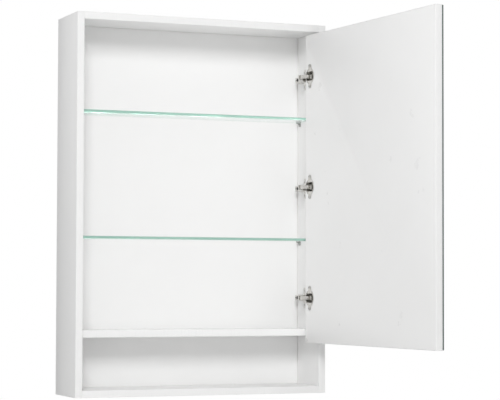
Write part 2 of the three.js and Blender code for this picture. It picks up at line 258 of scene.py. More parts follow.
def mirror_face(name):
    """Silvered glass, nearly spotless: faint wiping marks and a few dust specks."""
    s = Shader(name)
    wipes = s.noise(16.0, 6.0, 0.7, s.stretched(1.0, 1.0, 0.3))
    dust = s.ramp(s.cells(260.0, output="Distance"), (0.0, 0.05), (0.06, 0.0))
    rough = s.math("ADD", s.ramp(wipes, (0.45, 0.006), (0.75, 0.035)), dust)
    tint = s.ramp(wipes, (0.3, (0.915, 0.94, 0.93)), (0.8, (0.90, 0.925, 0.915)))
    s.set(Base_Color=tint, Metallic=1.0, Roughness=rough)
    return s.material


def mirror_edge(name):
    """The ground edge of the mirror, deep green-grey with the silver behind it."""
    s = Shader(name)
    grind = s.noise(700.0, 4.0, 0.6, s.stretched(1.0, 1.0, 0.1))
    tint = s.ramp(grind, (0.3, (0.085, 0.115, 0.108)), (0.7, (0.15, 0.19, 0.18)))
    s.set(Base_Color=tint, Roughness=s.ramp(grind, (0.3, 0.12), (0.7, 0.25)), IOR=1.52)
    s.bump(grind, 0.1, 0.03 * MM)
    return s.material


def mirror_back(name):
    """Grey protective paint over the silvering, slightly orange-peeled."""
    s = Shader(name)
    peel = s.noise(420.0, 3.0)
    tint = s.ramp(s.noise(14.0, 4.0), (0.3, (0.20, 0.215, 0.22)), (0.7, (0.25, 0.265, 0.27)))
    s.set(Base_Color=tint, Roughness=s.ramp(peel, (0.3, 0.45), (0.7, 0.6)))
    s.bump(peel, 0.2, 0.06 * MM)
    return s.material


def sheet_glass(name):
    """A thin pane of float glass: hardly any bending of light, a faint cast, a trace of wiping."""
    s = Shader(name)
    wipes = s.noise(20.0, 6.0, 0.7, s.stretched(0.4, 1.0, 1.0))
    tint = s.ramp(wipes, (0.3, (0.88, 0.968, 0.94)), (0.8, (0.86, 0.955, 0.925)))
    s.set(Base_Color=tint, Roughness=s.ramp(wipes, (0.45, 0.004), (0.8, 0.03)), IOR=1.01)
    s.surface.inputs["Transmission Weight"].default_value = 1.0
    s.surface.inputs["Coat Weight"].default_value = 1.0  # the polished faces' own reflection
    s.surface.inputs["Coat Roughness"].default_value = 0.02
    return s.material


def glass_edge(name):
    """The polished green edge of a glass shelf, lighter and darker along its length."""
    s = Shader(name)
    length = s.noise(7.0, 4.0, 0.6, s.stretched(1.0, 0.2, 0.2))
    layers = s.noise(500.0, 3.0, 0.6, s.stretched(0.02, 1.0, 1.0))
    tint = s.ramp(
        s.mix(0.35, length, layers),
        (0.25, (0.27, 0.47, 0.395)), (0.5, (0.36, 0.57, 0.49)), (0.75, (0.46, 0.66, 0.585)),
    )
    s.set(Base_Color=tint, Roughness=s.ramp(layers, (0.3, 0.06), (0.7, 0.14)), IOR=1.52)
    s.surface.inputs["Transmission Weight"].default_value = 0.25
    s.bump(layers, 0.05, 0.03 * MM)
    return s.material


def clear_plastic(name):
    """Soft clear pad under the glass, a little cloudy."""
    s = Shader(name)
    cloud = s.noise(350.0, 3.0)
    tint = s.ramp(cloud, (0.3, (0.86, 0.88, 0.88)), (0.7, (0.95, 0.96, 0.96)))
    s.set(Base_Color=tint, Roughness=s.ramp(cloud, (0.3, 0.12), (0.7, 0.3)), IOR=1.46)
    s.surface.inputs["Transmission Weight"].default_value = 0.7
    s.bump(cloud, 0.1, 0.05 * MM)
    return s.material


def painted_recess_shade(name):
    """Near-black steel colour for the walls and floors of screw recesses and slots: painted shade where the
    hollows fall dark.
    """
    s = Shader(name)
    recess_shade_noise = s.noise(900.0, 4.0)
    tint = s.ramp(recess_shade_noise, (0.3, (0.03, 0.03, 0.032)), (0.7, (0.09, 0.09, 0.095)))
    s.set(Base_Color=tint, Metallic=0.6, Roughness=s.ramp(recess_shade_noise, (0.3, 0.4), (0.7, 0.65)))
    s.bump(recess_shade_noise, 0.3, 0.05 * MM)
    return s.material


def studio_floor(name, radius):
    """Pale matt floor that fades out towards its rim."""
    s = Shader(name)
    grain = s.noise(35.0, 5.0)
    tint = s.ramp(grain, (0.3, (0.90, 0.90, 0.895)), (0.7, (0.93, 0.93, 0.925)))
    s.set(Base_Color=tint, Roughness=s.ramp(grain, (0.3, 0.6), (0.7, 0.75)))
    distance = s.tree.nodes.new("ShaderNodeVectorMath")
    distance.operation = "LENGTH"
    s.link(s.place, distance.inputs[0])
    reach = s.math("DIVIDE", distance.outputs["Value"], radius)
    s.set(Alpha=s.ramp(reach, (0.35, 1.0), (0.98, 0.0)))
    s.bump(grain, 0.05, 0.5 * MM)
    return s.material


WHITE = (0.922, 0.922, 0.918)
SHEET_WHITE = (0.94, 0.94, 0.936)  # the back panel and the edge bands
MAT = {
    "laminate": laminate("laminate_white", WHITE),
    "door": laminate("laminate_door", WHITE, 0.27, 0.38),
    "back": laminate("back_panel_white", SHEET_WHITE, 0.38, 0.5, 1100.0),
    "band": edge_band("edge_band_white", SHEET_WHITE),
    "chip": chipboard("chipboard_raw"),
    "rail": rail_board("rail_board"),
    "nickel": metal("nickel_plate", (0.70, 0.685, 0.655), 0.17, 0.30, (1.0, 1.0, 0.2)),
    "zinc": metal("zinc_plate", (0.66, 0.67, 0.68), 0.28, 0.42, spots=0.35),
    "screw": metal("screw_steel", (0.74, 0.735, 0.72), 0.2, 0.34),
    "dark": metal("screw_blackened", (0.16, 0.155, 0.15), 0.3, 0.45, spots=0.4),
    "pin": metal("pin_nickel", (0.46, 0.46, 0.445), 0.25, 0.38),
    # painted shade: the near-black colour put on screw recesses and the arm's slot
    "recess": painted_recess_shade("screw_recess"),
    "mirror": mirror_face("mirror_silvered"),
    "mirror_edge": mirror_edge("mirror_ground_edge"),
    "mirror_back": mirror_back("mirror_paint"),
    "glass": sheet_glass("shelf_glass_clear"),
    "glass_edge": glass_edge("shelf_glass_edge"),
    "pad": clear_plastic("pin_pad_clear"),
}


# ------------------------------------------------------------------ mesh tools
SMOOTH_BELOW = 32.0  # degrees; edges that turn more are shaded as sharp


def finish_piece(
    name, mesh, materials, body, replaces=(), matrix=None, smooth=SMOOTH_BELOW,
):
    """Makes an object of a mesh built in the closed or rest position, and puts it on its body."""
    for key in materials:
        mesh.materials.append(MAT[key])
    mesh.shade_smooth()
    mesh.set_sharp_from_angle(angle=math.radians(smooth))
    obj = bpy.data.objects.new(name, mesh)
    bpy.context.scene.collection.objects.link(obj)
    if matrix is not None:
        mesh.transform(matrix)
    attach(obj, body)
    if replaces:
        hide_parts(*replaces)
    return obj


def to_mesh(bm):
    bmesh.ops.recalc_face_normals(bm, faces=bm.faces)
    mesh = bpy.data.meshes.new("piece")
    bm.to_mesh(mesh)
    bm.free()
    return mesh


def box_bm(lo, hi):
    bm = bmesh.new()
    bmesh.ops.create_cube(bm, size=1.0)
    size = Vector(hi) - Vector(lo)
    middle = (Vector(hi) + Vector(lo)) / 2
    for v in bm.verts:
        v.co = Vector(a * b for a, b in zip(v.co, size)) + middle
    return bm


def round_edges(bm, width, segments=3, pick=None):
    edges = [e for e in bm.edges if pick is None or pick(e)]
    bmesh.ops.bevel(
        bm, geom=edges, offset=width, segments=segments, profile=0.5,
        affect="EDGES", clamp_overlap=True,
    )
    return bm


def round_box(lo, hi, width, segments=3, pick=None):
    return to_mesh(round_edges(box_bm(lo, hi), width, segments, pick))


def lathe_bm(profile, segments, axis):
    """profile is (radius, station) from one end to the other; axis is 0, 1 or 2."""
    bm = bmesh.new()
    rings = []
    side_a, side_b = [(1, 2), (2, 0), (0, 1)][axis]
    for radius, station in profile:
        ring = []
        for i in range(segments if radius > 1e-9 else 1):
            turn = 2 * math.pi * i / segments
            co = [0.0, 0.0, 0.0]
            co[axis] = station
            co[side_a] = radius * math.cos(turn)
            co[side_b] = radius * math.sin(turn)
            ring.append(bm.verts.new(co))
        rings.append(ring)
    for a, b in zip(rings, rings[1:]):
        for i in range(segments):
            j = (i + 1) % segments
            corners = [a[i % len(a)], a[j % len(a)], b[j % len(b)], b[i % len(b)]]
            unique = list(dict.fromkeys(corners))
            if len(unique) > 2:
                bm.faces.new(unique)
    return bm


def prism_bm(outline, low, high, axis=2):
    """A closed outline in the two other axes, made into a prism along axis."""
    bm = bmesh.new()
    side_a, side_b = [(1, 2), (0, 2), (0, 1)][axis]

    def corner(point, station):
        co = [0.0, 0.0, 0.0]
        co[side_a], co[side_b], co[axis] = point[0], point[1], station
        return bm.verts.new(co)

    first = [corner(p, low) for p in outline]
    last = [corner(p, high) for p in outline]
    bm.faces.new(first)
    bm.faces.new(last)
    for i in range(len(outline)):
        j = (i + 1) % len(outline)
        bm.faces.new((first[i], first[j], last[j], last[i]))
    return bm


def moved(bm, *offset):
    bmesh.ops.translate(bm, verts=bm.verts, vec=Vector(offset))
    return bm


def combine(mesh, others, operation):
    """Exact booleans with temporary objects, applied to the mesh."""
    base = bpy.data.objects.new("base", mesh)
    bpy.context.scene.collection.objects.link(base)
    helpers = []
    for other in others:
        helper = bpy.data.objects.new("helper", other)
        bpy.context.scene.collection.objects.link(helper)
        helpers.append(helper)
        modifier = base.modifiers.new("combine", "BOOLEAN")
        modifier.operation = operation
        modifier.solver = "EXACT"
        modifier.object = helper
    graph = bpy.context.evaluated_depsgraph_get()
    made = bpy.data.meshes.new_from_object(base.evaluated_get(graph))
    for obj in (base, *helpers):
        bpy.data.objects.remove(obj)
    return made


def carved(mesh, cutters):
    return combine(mesh, cutters, "DIFFERENCE") if cutters else mesh


def joined(mesh, others):
    return combine(mesh, others, "UNION") if others else mesh


def softened(mesh, width, segments=2, angle=35.0):
    """A bevel along every edge sharper than angle."""
    bm = bmesh.new()
    bm.from_mesh(mesh)
    bmesh.ops.remove_doubles(bm, verts=bm.verts, dist=0.004 * MM)
    bmesh.ops.dissolve_limit(
        bm, angle_limit=math.radians(1.0), verts=bm.verts, edges=bm.edges
    )
    limit = math.radians(angle)
    edges = [
        e for e in bm.edges
        if len(e.link_faces) == 2 and e.calc_face_angle(0.0) > limit and e.calc_length() > width
    ]
    bmesh.ops.bevel(
        bm, geom=edges, offset=width, segments=segments, profile=0.5,
        affect="EDGES", clamp_overlap=True,
    )
    return to_mesh(bm)


def cylinder(axis, radius, start, end, at, segments=32):
    bm = lathe_bm([(0, start), (radius, start), (radius, end), (0, end)], segments, axis)
    offset = list(at)
    offset.insert(axis, 0.0)
    return to_mesh(moved(bm, *offset))


def paint_faces(mesh, index, wanted):
    """Gives a material index to the faces whose centre and normal wanted() accepts."""
    for face in mesh.polygons:
        if wanted(face.center, face.normal):
            face.material_index = index
    return mesh


# ------------------------------------------------------------------ the door's own position
door_joint = next(j for j in frame["joints"] if j["name"] == "door_swing")
link_joint = next(j for j in frame["joints"] if j["name"] == "link_swing")
RATIO = frame["record"]["behaviour"]["couplings"][0]["ratio"]
SWING = math.radians(-door_joint["range_deg"][0])
LINK_TURN = RATIO * SWING
OPEN_TURN = SWING + LINK_TURN
ARM_PIVOT = Vector(link_joint["pos_m"])
OPEN_PIVOT = Vector(door_joint["pos_m"])
CLOSED_PIVOT = ARM_PIVOT + Matrix.Rotation(-LINK_TURN, 3, "Z") @ (OPEN_PIVOT - ARM_PIVOT)
OPENED = (
    Matrix.Translation(OPEN_PIVOT)
    @ Matrix.Rotation(OPEN_TURN, 4, "Z")
    @ Matrix.Translation(-CLOSED_PIVOT)
)
CLOSING = OPENED.inverted()


def closed_box(node):
    """A door node's lowest and highest corners with the door closed."""
    points = [CLOSING @ v.co for v in NODES[node].data.vertices]
    low = Vector(min(p[i] for p in points) for i in range(3))
    high = Vector(max(p[i] for p in points) for i in range(3))
    return low, high


def node_height(node):
    low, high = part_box(node)
    return (low.z + high.z) / 2


# ------------------------------------------------------------------ boards
def banded_board(name, node, box, band_sides, matrix=None, body="carcass", cutters=(), rear=None):
    """A laminated board: a core with crisp faces, and a separate rounded band on each named side.
    band_sides holds (axis, direction) pairs. Faces towards rear show the raw core."""
    low, high = box
    look = "door" if body == "door" else "laminate"
    core_low, core_high = Vector(low), Vector(high)
    for axis, direction in band_sides:
        if direction < 0:
            core_low[axis] += BAND + SEAM
        else:
            core_high[axis] -= BAND + SEAM
    core = round_box(core_low, core_high, FACE_ROUND, 2)
    core = carved(core, list(cutters))
    if rear:
        axis, direction = rear
        paint_faces(core, 1, lambda _, n: n[axis] * direction > 0.7)
    finish_piece(name, core, (look, "chip"), body, [node], matrix)
    for number, (axis, direction) in enumerate(band_sides):
        band_low, band_high = Vector(low), Vector(high)
        if direction < 0:
            band_high[axis] = low[axis] + BAND
        else:
            band_low[axis] = high[axis] - BAND
        for other, (a, d) in enumerate(band_sides):
            if other < number and a != axis:  # an earlier band runs through, this one stops at it
                if d < 0:
                    band_low[a] += BAND + SEAM
                else:
                    band_high[a] -= BAND + SEAM
        outer = low[axis] if direction < 0 else high[axis]
        mesh = round_box(
            band_low, band_high, BAND_ROUND, 4,
            lambda e: all(abs(v.co[axis] - outer) < 1e-6 for v in e.verts),
        )
        band_name = f"{name}_band_{number + 1}"
        finish_piece(band_name, mesh, ("band",), body, (), matrix)


back_low, back_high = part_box("back_panel")
SHADOW_GAP = 1.0 * MM  # the grooves' open line in front of the back panel
GROOVE_MESH = to_mesh(box_bm(
    back_low - Vector((BORE_PLAY, SHADOW_GAP, BORE_PLAY)),
    back_high + Vector((BORE_PLAY,) * 3),
))

pin_nodes = sorted(n for n in NODES if n.startswith("pin_"))
PIN_RADIUS = 2.55 * MM
PIN_TOP = 4.0 * MM  # from a pin's axis to the underside of the glass
PIN_HOLE_DEPTH = 8.5 * MM


def pin_axis(node):
    low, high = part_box(node)
    return (low.y + high.y) / 2, high.z - PIN_TOP


def side_cutters(sign, inner):
    tools = [GROOVE_MESH.copy()]
    for node in pin_nodes:
        if ("left" if sign < 0 else "right") in node:
            ends = sorted((inner - sign * MM, inner + sign * PIN_HOLE_DEPTH))
            tools.append(cylinder(0, PIN_RADIUS, ends[0], ends[1], pin_axis(node), 24))
    return tools


left_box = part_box("left_side_panel")
right_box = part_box("right_side_panel")
LEFT_INNER = left_box[1].x
RIGHT_INNER = right_box[0].x
plate_tools = []
for hinge in HINGES:
    for end in ("lower", "upper"):
        low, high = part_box(f"{hinge}_plate_screw_{end}")
        middle = (low + high) / 2
        plate_tools.append(
            cylinder(0, 2 * MM, RIGHT_INNER - MM, high.x + 0.5 * MM, (middle.y, middle.z), 16)
        )

REAR = (1, 1)
FRONT_BAND = ((1, -1),)
SIDE_BANDS = ((1, -1), (2, -1), (2, 1))
DOOR_BANDS = ((0, -1), (0, 1), (2, -1), (2, 1))
banded_board("side_left", "left_side_panel", left_box, SIDE_BANDS,
             cutters=side_cutters(-1, LEFT_INNER), rear=REAR)
banded_board("side_right", "right_side_panel", right_box, SIDE_BANDS,
             cutters=side_cutters(1, RIGHT_INNER) + plate_tools, rear=REAR)
banded_board("top", "top_panel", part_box("top_panel"), FRONT_BAND,
             cutters=[GROOVE_MESH.copy()], rear=REAR)
banded_board("bottom", "bottom_panel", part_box("bottom_panel"), FRONT_BAND,
             cutters=[GROOVE_MESH.copy()], rear=REAR)
banded_board("shelf_fixed", "fixed_shelf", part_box("fixed_shelf"), FRONT_BAND)


# ------------------------------------------------------------------ door and mirror
door_low, door_high = closed_box("door_board")
mirror_low, mirror_high = closed_box("mirror_glass")
CUP_BORE_RADIUS = 17.8 * MM
door_tools = []
for hinge in HINGES:
    low, high = closed_box(f"{hinge}_cup")
    centre = ((low.x + high.x) / 2, (low.z + high.z) / 2)
    door_tools.append(
        cylinder(1, CUP_BORE_RADIUS, low.y - BORE_PLAY, door_high.y + MM, centre, 64)
    )
    for end in ("lower", "upper"):
        s_low, s_high = closed_box(f"{hinge}_cup_screw_{end}")
        middle = (s_low + s_high) / 2
        door_tools.append(
            cylinder(1, 1.9 * MM, s_low.y - 0.3 * MM, door_high.y + MM, (middle.x, middle.z), 16)
        )
banded_board(
    "door", "door_board", (door_low, door_high), DOOR_BANDS, OPENED, "door", door_tools,
)

MIRROR_GRIND = 0.7 * MM
mirror_mesh = round_box(mirror_low, mirror_high, MIRROR_GRIND, 1)
paint_faces(mirror_mesh, 1, lambda _, n: n.y > -0.99)
paint_faces(mirror_mesh, 2, lambda _, n: n.y > 0.99)
finish_piece(
    "mirror", mirror_mesh, ("mirror", "mirror_edge", "mirror_back"),
    "door", ["mirror_glass"], OPENED, smooth=15.0,
)


# ------------------------------------------------------------------ glass shelves and pins
GLASS_ROUND = 1.1 * MM  # polished arrises
GLASS_FACETS = 12.0  # degrees; wider turns stay sharp, so that the panes' faces are truly flat
for level in ("lower", "upper"):
    node = f"glass_shelf_{level}"
    low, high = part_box(node)
    mesh = round_box(low, high, GLASS_ROUND, 4)
    paint_faces(mesh, 1, lambda _, n: abs(n.z) < 0.93)
    pane = finish_piece(
        f"shelf_{level}", mesh, ("glass", "glass_edge"), "carcass", [node],
        smooth=GLASS_FACETS,
    )
    pane.visible_shadow = False
    pane.visible_diffuse = False


def facing(mesh, sign):
    """Turns a mesh made for the left side panel round when it is for the right one."""
    if sign > 0:
        mesh.transform(Matrix.Rotation(math.pi, 4, "Z"))
    return mesh


def pin_mesh(sign):
    """A pin along X that points into the cabinet: grooved shank, flange, tongue, rib."""
    half = 4.0 * MM
    profile = [
        (0, -8), (1.9, -8), (2.4, -7.3), (2.4, -5.2), (2.15, -5), (2.15, -4.6), (2.4, -4.4),
        (2.4, -2.6), (2.15, -2.4), (2.15, -2), (2.4, -1.8), (2.4, 0.6), (0, 0.6),
    ]
    shank = lathe_bm([(r * MM, x * MM) for r, x in profile], 32, 0)
    flange = round_edges(
        box_bm((0, -half, -5 * MM), (1.6 * MM, half, half)), 2.2 * MM, 5,
        lambda e: abs(e.verts[0].co.x - e.verts[1].co.x) > 1 * MM and e.verts[0].co.z < 0,
    )
    tongue = round_edges(
        box_bm((0.4 * MM, -half, half - 1.8 * MM), (9 * MM, half, half - 0.5 * MM)), 2.4 * MM, 5,
        lambda e: abs(e.verts[0].co.z - e.verts[1].co.z) > 1 * MM and e.verts[0].co.x > 5 * MM,
    )
    rib = prism_bm(
        [(0.8 * MM, -3.6 * MM), (6.2 * MM, half - 1.9 * MM), (0.8 * MM, half - 1.9 * MM)],
        -0.8 * MM, 0.8 * MM, 1,
    )
    made = joined(to_mesh(shank), [to_mesh(flange), to_mesh(tongue), to_mesh(rib)])
    return facing(softened(made, 0.22 * MM, 2), sign)


def pad_mesh(sign):
    """The clear pad on a pin's tongue, just under the glass."""
    half = 3.7 * MM
    bm = round_edges(
        box_bm((1.7 * MM, -half, 3.52 * MM), (8.7 * MM, half, 3.98 * MM)), 1.8 * MM, 5,
        lambda e: abs(e.verts[0].co.z - e.verts[1].co.z) > 0.3 * MM,
    )
    return facing(to_mesh(bm), sign)


pin_shapes = {sign: (pin_mesh(sign), pad_mesh(sign)) for sign in (-1, 1)}
for node in pin_nodes:
    sign = -1 if "left" in node else 1
    y, z = pin_axis(node)
    place = Matrix.Translation((LEFT_INNER if sign < 0 else RIGHT_INNER, y, z))
    body_mesh, pad = (m.copy() for m in pin_shapes[sign])
    finish_piece(f"shelf_{node}", body_mesh, ("pin",), "carcass", [node], place)
    finish_piece(f"shelf_{node}_pad", pad, ("pad",), "carcass", (), place)


# ------------------------------------------------------------------ screws
def screw_mesh(head, shank, length, dome):
    """A screw along -Z with its head's rim at 0: domed head, cross recess, a thread of rings."""
    sink = head - shank
    profile = [(0, dome)]
    for i in range(1, 6):
        turn = math.pi / 2 * i / 5
        profile.append((head * math.sin(turn), dome * math.cos(turn)))
    profile += [(head, -0.25 * MM), (shank, -0.25 * MM - sink)]
    station = -0.25 * MM - sink - 0.6 * MM
    while station > -length + 2.4 * MM:
        profile += [(shank, station), (shank * 0.78, station - 0.45 * MM)]
        profile += [(shank * 0.78, station - 0.65 * MM), (shank, station - 1.1 * MM)]
        station -= 1.2 * MM
    profile += [(shank * 0.75, -length + 1.8 * MM), (0, -length)]
    body = to_mesh(lathe_bm(profile, 32, 2))
    arm = head * 0.6
    half = head * 0.15
    depth = min(1.6 * MM, sink * 0.9)
    tools = []
    for turned in (0, 1):
        bm = prism_bm(
            [(-arm, dome + MM), (-arm, dome - depth * 0.35), (-arm * 0.45, dome - depth),
             (arm * 0.45, dome - depth), (arm, dome - depth * 0.35), (arm, dome + MM)],
            -half, half, 1,
        )
        tool = to_mesh(bm)
        if turned:
            tool.transform(Matrix.Rotation(math.pi / 2, 4, "Z"))
        tools.append(tool)
    made = carved(body, tools)
    reach = head * 0.62
    # The cross recess's walls and floor take the near-black recess material: painted shade.
    paint_faces(
        made, 1,
        lambda c, n: c.z > dome - depth - 0.01 * MM and math.hypot(c.x, c.y) < reach
        and (abs(n.z) < 0.6 or c.z < dome - depth * 0.8),
    )
    return made


plate_screw = screw_mesh(4.4 * MM, 1.9 * MM, 12.5 * MM, 0.8 * MM)
cup_screw = screw_mesh(3.9 * MM, 1.5 * MM, 11.5 * MM, 0.7 * MM)
hanger_screw = screw_mesh(3.6 * MM, 1.5 * MM, 13 * MM, 0.35 * MM)


def place_screw(node, shape, turn, at, body, matrix=None):
    """Each screw is turned by an angle of its own, so that the recesses do not line up."""
    spin = Matrix.Rotation(math.radians(sum(map(ord, node)) % 90), 4, "Z")
    place = Matrix.Translation(at) @ turn @ spin
    full = place if matrix is None else matrix @ place
    finish_piece(
        f"fixing_{node}", shape.copy(), ("screw", "recess"), body, [node], full, smooth=28.0,
    )


TOWARDS_X = Matrix.Rotation(-math.pi / 2, 4, "Y")  # head towards -X
TOWARDS_Y = Matrix.Rotation(-math.pi / 2, 4, "X")  # head towards +Y

for side in ("left", "right"):
    for end in ("lower", "upper"):
        node = f"hanger_{side}_screw_{end}"
        low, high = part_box(node)
        middle = (low + high) / 2
        at = (middle.x, high.y - 0.35 * MM, middle.z)
        place_screw(node, hanger_screw, TOWARDS_Y, at, "carcass")


# ------------------------------------------------------------------ hinges
# Places in millimetres: x from the side panel's face, y from the front plane.
ADJUST_SLOT = (82.4, 90.6)  # the arm's slot over the adjusting screw, along y
ADJUST_HALF = 3.5
ADJUST_FLOOR = -10.2  # x of the slot's floor
PLATE_CENTRE = 75
PLATE_SCREW = 16  # the plate's screws above and below its centre
CUP_SCREW = 24  # the cup's screws above and below its centre


def arm_mesh():
    """The cranked arm, in millimetres from the side panel's face (x) and the front plane (y)."""
    outline = [
        (-7.6, 100.2), (-8.4, 101), (-14.2, 101), (-15.6, 100.2), (-16.2, 98.6), (-16.2, 67.5),
        (-16.9, 64.2), (-19, 60), (-23, 54.2), (-27.6, 48.4), (-32.6, 43.6), (-34.6, 41.2),
        (-35.2, 38), (-35.2, 31), (-34.7, 29.3), (-33.2, 27.7), (-31, 27.1), (-28.8, 27.7),
        (-27.2, 29.2), (-26.6, 31), (-26.2, 34.2), (-24.8, 37.6), (-19, 46), (-12, 56), (-7.6, 62),
    ]
    half = 6.2
    body = to_mesh(prism_bm([(x * MM, y * MM) for x, y in outline], -half * MM, half * MM))
    fork = to_mesh(box_bm((-40 * MM, 20 * MM, -4.6 * MM), (-20 * MM, 36.4 * MM, 4.6 * MM)))
    pivot = cylinder(2, 1.28 * MM, -10 * MM, 10 * MM, (-31 * MM, 31 * MM), 24)
    made = carved(body, [fork, pivot])
    made = softened(made, 0.85 * MM, 3, 50.0)
    slot = to_mesh(round_edges(
        box_bm(
            (-18 * MM, ADJUST_SLOT[0] * MM, -ADJUST_HALF * MM),
            (ADJUST_FLOOR * MM, ADJUST_SLOT[1] * MM, ADJUST_HALF * MM),
        ), 1.2 * MM, 5,
        lambda e: abs(e.verts[0].co.x - e.verts[1].co.x) > MM,
    ))
    hole = cylinder(0, 2.1 * MM, -18 * MM, -10.8 * MM, (95.2 * MM, 0), 28)
    rivet = cylinder(0, 1.6 * MM, -18 * MM, -15.2 * MM, (72.5 * MM, 0), 24)
    made = carved(made, [slot, hole, rivet])
    # The slot's walls and floor take the near-black recess material: painted shade in the pocket.
    return paint_faces(
        made, 1,
        lambda c, _: -15.9 * MM < c.x < -9 * MM and abs(c.z) < 3.55 * MM
        and 80 * MM < c.y < 98 * MM,
    )


def plate_mesh():
    """The cross-shaped mounting plate with its raised channel."""
    half, wing = 24.0, 6.4
    outline = []
    for sign_y, sign_z in ((1, 1), (-1, 1), (-1, -1), (1, -1)):
        corner = [(PLATE_CENTRE + sign_y * wing * math.sin(t), sign_z * (half - wing + wing * math.cos(t)))
                  for t in [math.pi / 2 * i / 6 for i in range(7)]]
        outline += corner[::-1] if sign_y * sign_z > 0 else corner
    flat = []
    for point in outline:
        if not flat or (Vector(point) - Vector(flat[-1])).length > 0.05:
            flat.append(point)
    if (Vector(flat[0]) - Vector(flat[-1])).length < 0.05:
        flat.pop()
    wings = to_mesh(prism_bm([(y * MM, z * MM) for y, z in flat], -2.2 * MM, 0, 0))
    channel = round_box(
        (-7.3 * MM, 53 * MM, -7.4 * MM), (0, 99 * MM, 7.4 * MM), 1.4 * MM, 3,
        lambda e: min(v.co.x for v in e.verts) < -7 * MM or e.verts[0].co.y < 54 * MM,
    )
    made = joined(wings, [channel])
    made = carved(made, [
        cylinder(0, 4.6 * MM, -4 * MM, MM, (PLATE_CENTRE * MM, end * PLATE_SCREW * MM), 40)
        for end in (-1, 1)
    ])
    return softened(made, 0.35 * MM, 2, 50.0)


SLOT_HALF = 10.6  # half the height of the opening between the cup's decks
LUG_X = 12.8  # the pivot's place from the cup's centre


def cup_mesh():
    """The cup, in millimetres from its centre (x, z) and the door's inner face (y)."""
    floor, top = -13.5, 0.3
    profile = [
        (0, floor), (16.2, floor), (17.1, floor + 0.4), (17.5, floor + 1.3), (17.5, top),
        (18.6, top), (18.6, top + 0.8), (18.2, top + 1.2), (17.6, top + 1.2), (17.1, top + 0.9),
        (17.0, top + 0.4), (17.0, floor + 1.9), (16.6, floor + 0.9), (15.6, floor + 0.5),
        (0, floor + 0.5),
    ]
    return to_mesh(lathe_bm([(r * MM, y * MM) for r, y in profile], 72, 1))


def cup_full():
    """The pan with its flange wings, the decks that leave a slot for the arm, and the pivot lugs."""
    parts = []
    for end in (-1, 1):
        outline = [(-6.5, 17.3), (6.5, 17.3)]
        outline += [(6.5 * math.cos(t), 21.5 + 6.5 * math.sin(t))
                    for t in [math.pi * i / 14 for i in range(15)]]
        points = [(x * MM, end * z * MM) for x, z in outline]
        parts.append(to_mesh(prism_bm(points, 0.3 * MM, 1.4 * MM, 1)))
        inner = 17.3
        start = math.asin(SLOT_HALF / inner)
        arc = [start + (math.pi - 2 * start) * i / 24 for i in range(25)]
        deck = [(inner * math.cos(t) * MM, end * inner * math.sin(t) * MM) for t in arc]
        parts.append(to_mesh(prism_bm(deck, -0.1 * MM, 0.7 * MM, 1)))
        lug_z = (4.75, 6.15) if end > 0 else (-6.15, -4.75)
        parts.append(round_box(
            ((LUG_X - 2.9) * MM, -13.2 * MM, lug_z[0] * MM),
            ((LUG_X + 2.6) * MM, -6.8 * MM, lug_z[1] * MM), 0.3 * MM, 2,
        ))
    made = joined(cup_mesh(), parts)
    holes = [
        cylinder(1, 3.6 * MM, -1 * MM, 4 * MM, (0, end * CUP_SCREW * MM), 32) for end in (-1, 1)
    ]
    pivot = cylinder(2, 1.5 * MM, -8 * MM, 8 * MM, (LUG_X * MM, -9.6 * MM), 24)
    return carved(made, holes + [pivot])


arm_shape = arm_mesh()
plate_shape = plate_mesh()
cup_shape = cup_full()
FRONT_Y = left_box[0].y


def small_screw(radius, height):
    """An adjusting screw's flat head with a straight cross, its face towards +Z."""
    body = to_mesh(lathe_bm(
        [(0, 0), (radius, 0), (radius, height - 0.3 * MM), (radius - 0.3 * MM, height), (0, height)],
        32, 2,
    ))
    arm, half = radius * 0.72, radius * 0.17
    cuts = [
        to_mesh(box_bm((-arm, -half, height * 0.3), (arm, half, height + MM))),
        to_mesh(box_bm((-half, -arm, height * 0.3), (half, arm, height + MM))),
    ]
    made = carved(body, cuts)
    # The cross's walls and floor take the near-black recess material: painted shade.
    return paint_faces(
        made, 1,
        lambda c, _: 0.05 * MM < c.z < height - 0.05 * MM
        and math.hypot(c.x, c.y) < arm + 0.02 * MM,
    )


for hinge in HINGES:
    z = node_height(f"{hinge}_plate")
    origin = Matrix.Translation((RIGHT_INNER, FRONT_Y, z))
    finish_piece(f"{hinge}_base", plate_shape.copy(), ("nickel",), "carcass",
                 [f"{hinge}_plate"], origin)
    finish_piece(f"{hinge}_crank", arm_shape.copy(), ("nickel", "recess"), "carcass",
                 [f"{hinge}_arm"], origin)
    seat = ((ADJUST_FLOOR - 0.05) * MM, sum(ADJUST_SLOT) / 2 * MM, 0)
    at_slot = origin @ Matrix.Translation(seat) @ TOWARDS_X
    finish_piece(f"{hinge}_side_screw", small_screw(3.0 * MM, 2.4 * MM), ("dark", "recess"),
                 "carcass", [f"{hinge}_adjuster"], at_slot)
    for end in ("lower", "upper"):
        node = f"{hinge}_plate_screw_{end}"
        low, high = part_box(node)
        middle = (low + high) / 2
        at = (low.x + 0.2 * MM, middle.y, middle.z)
        place_screw(node, plate_screw, TOWARDS_X, at, "carcass")
        node = f"{hinge}_cup_screw_{end}"
        low, high = closed_box(node)
        middle = (low + high) / 2
        at = (middle.x, high.y - 0.2 * MM, middle.z)
        place_screw(node, cup_screw, TOWARDS_Y, at, "door", OPENED)
    low, high = closed_box(f"{hinge}_cup")
    centre = Matrix.Translation(((low.x + high.x) / 2, door_high.y, (low.z + high.z) / 2))
    finish_piece(f"{hinge}_pan", cup_shape.copy(), ("nickel",), "door",
                 [f"{hinge}_cup"], OPENED @ centre)

